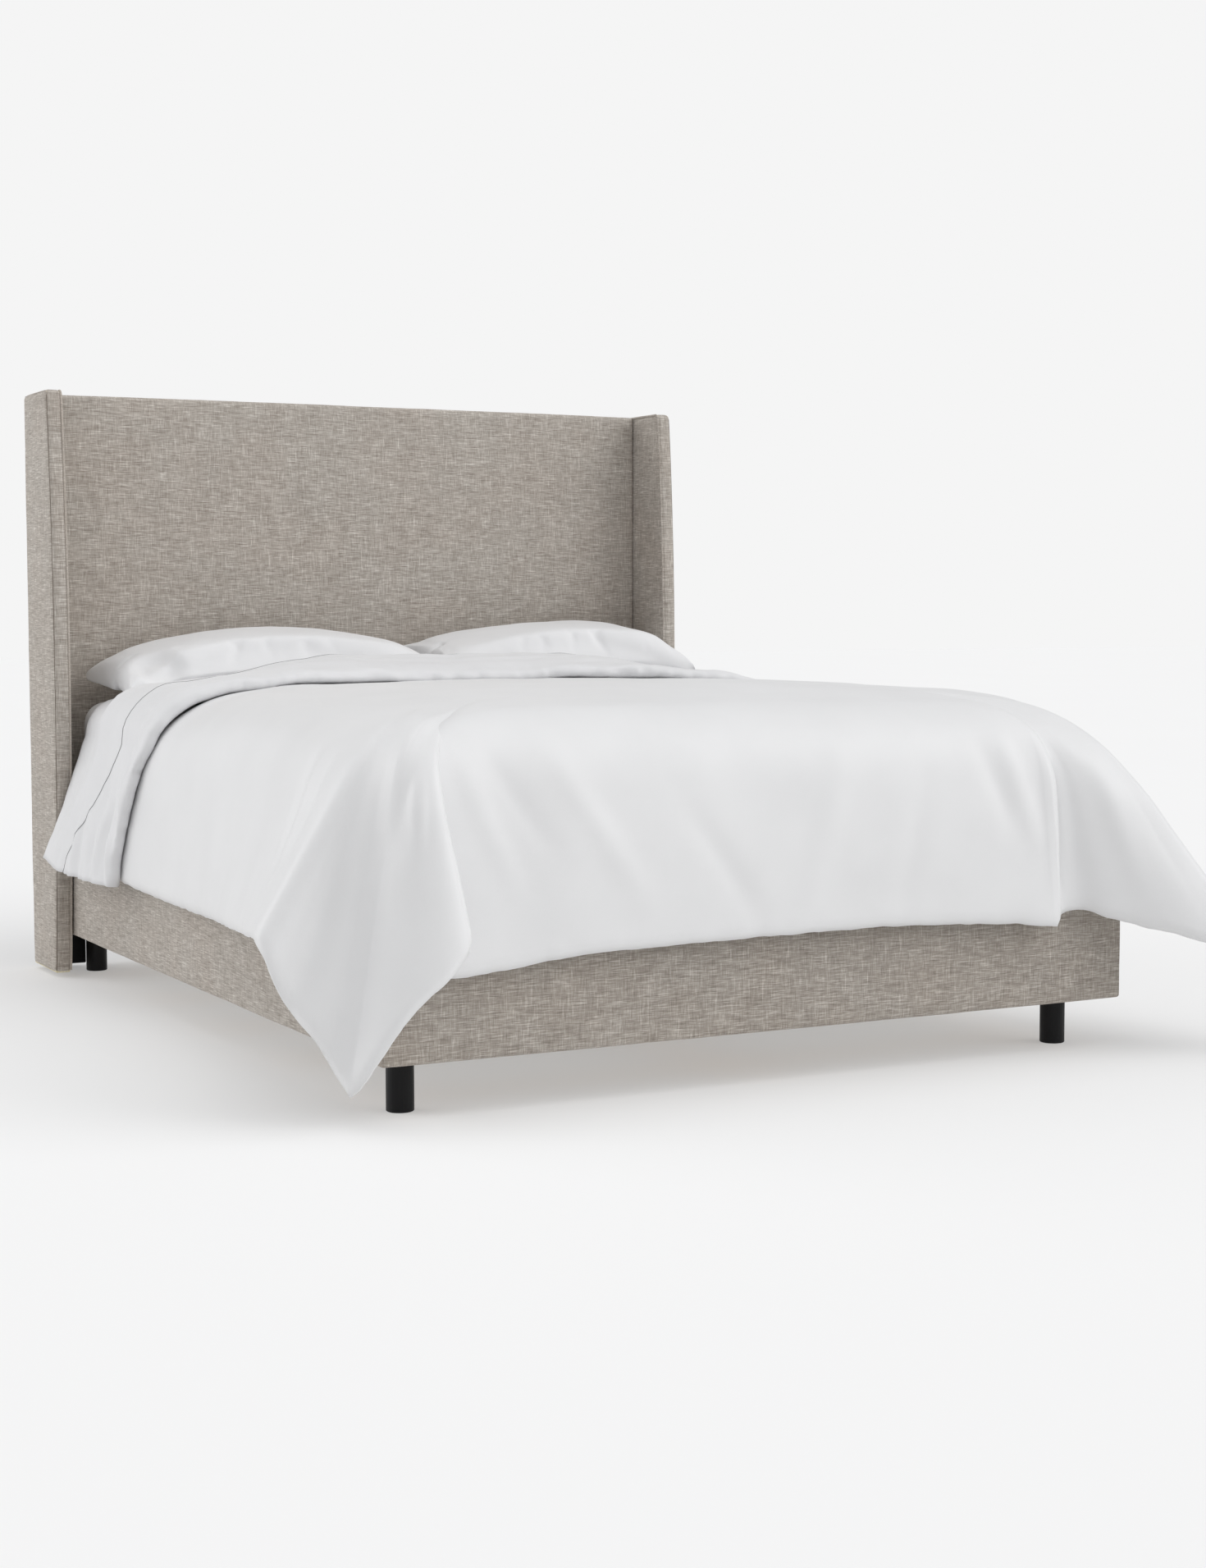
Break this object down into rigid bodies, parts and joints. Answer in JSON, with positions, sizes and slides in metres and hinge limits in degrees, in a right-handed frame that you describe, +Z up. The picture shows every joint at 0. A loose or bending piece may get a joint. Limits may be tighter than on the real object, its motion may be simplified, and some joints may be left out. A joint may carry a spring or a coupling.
{
  "type": "upholstered headboard bed",
  "caption": "Queen-size bed with an upholstered wingback headboard and padded rails on short round legs, made up with mattress, white duvet and pillows.",
  "frame": {"origin": "on the floor under the middle of the whole object, bedding included", "axes": "+Z up, +Y from the foot to the headboard, +X to the right as seen from the foot"},
  "size_m": [1.9656, 2.3318, 1.4242],
  "materials": {
    "upholstery": "heathered linen-look weave, matt",
    "welt": "self-fabric piping, matt",
    "foam": "polyurethane foam",
    "timber": "unfinished softwood",
    "board": "plywood",
    "dust_cloth": "non-woven dust cloth, matt",
    "leg_paint": "black, satin",
    "steel": "zinc plated",
    "glide": "moulded, matt",
    "ticking": "mattress ticking, matt",
    "percale": "white cotton percale",
    "sateen": "white cotton sateen, soft sheen"
  },
  "bodies": {
    "frame": {"bolt_front_left": "steel", "bolt_front_right": "steel", "bolt_rear_left": "steel", "bolt_rear_right": "steel", "bracket_front_left": "steel", "bracket_front_right": "steel", "bracket_rear_left": "steel", "bracket_rear_right": "steel", "centre_beam": "timber", "centre_leg_1": "leg_paint", "centre_leg_2": "leg_paint", "corner_block_front_left": "timber", "corner_block_front_right": "timber", "corner_block_rear_left": "timber", "corner_block_rear_right": "timber", "foot_rail": "timber", "foot_rail_cover": "upholstery", "foundation": "ticking", "headboard_cover": "upholstery", "headboard_dust_cloth": "dust_cloth", "headboard_foam": "foam", "headboard_foot_left": "leg_paint", "headboard_foot_right": "leg_paint", "headboard_lower_rail": "timber", "headboard_panel": "board", "headboard_stile_left": "timber", "headboard_stile_right": "timber", "headboard_top_rail": "timber", "ledger_left": "timber", "ledger_right": "timber", "leg_front_left": "leg_paint", "leg_front_right": "leg_paint", "leg_rear_left": "leg_paint", "leg_rear_right": "leg_paint", "side_rail_cover_left": "upholstery", "side_rail_cover_right": "upholstery", "side_rail_left": "timber", "side_rail_right": "timber", "slat_1": "timber", "slat_2": "timber", "slat_3": "timber", "slat_4": "timber", "slat_5": "timber", "wing_board_left": "board", "wing_board_right": "board", "wing_cover_left": "upholstery", "wing_cover_right": "upholstery", "wing_foam_left": "foam", "wing_foam_right": "foam", "wing_welt_left": "welt", "wing_welt_right": "welt"},
    "mattress": {"mattress": "ticking", "fitted_sheet": "percale", "top_sheet": "percale"},
    "duvet": {"duvet": "sateen"},
    "pillow_left": {"pillow_left": "percale"},
    "pillow_right": {"pillow_right": "percale"},
    "glide_1": {"glide_1": "glide"},
    "glide_2": {"glide_2": "glide"}
  },
  "joints": [
    {"name": "mattress_lift", "type": "slide", "parent": "frame", "child": "mattress", "axis": [0, 0, 1], "range_m": [0, 1.1]},
    {"name": "duvet_lift", "type": "slide", "parent": "mattress", "child": "duvet", "axis": [0, 0, 1], "range_m": [0, 0.65]},
    {"name": "pillow_left_lift", "type": "slide", "parent": "mattress", "child": "pillow_left", "axis": [0, 0, 1], "range_m": [0, 0.75]},
    {"name": "pillow_right_lift", "type": "slide", "parent": "mattress", "child": "pillow_right", "axis": [0, 0, 1], "range_m": [0, 0.75]},
    {"name": "glide_1_screw", "type": "slide", "parent": "frame", "child": "glide_1", "axis": [0, 0, 1], "range_m": [-0.012, 0]},
    {"name": "glide_2_screw", "type": "slide", "parent": "frame", "child": "glide_2", "axis": [0, 0, 1], "range_m": [-0.012, 0]}
  ]
}
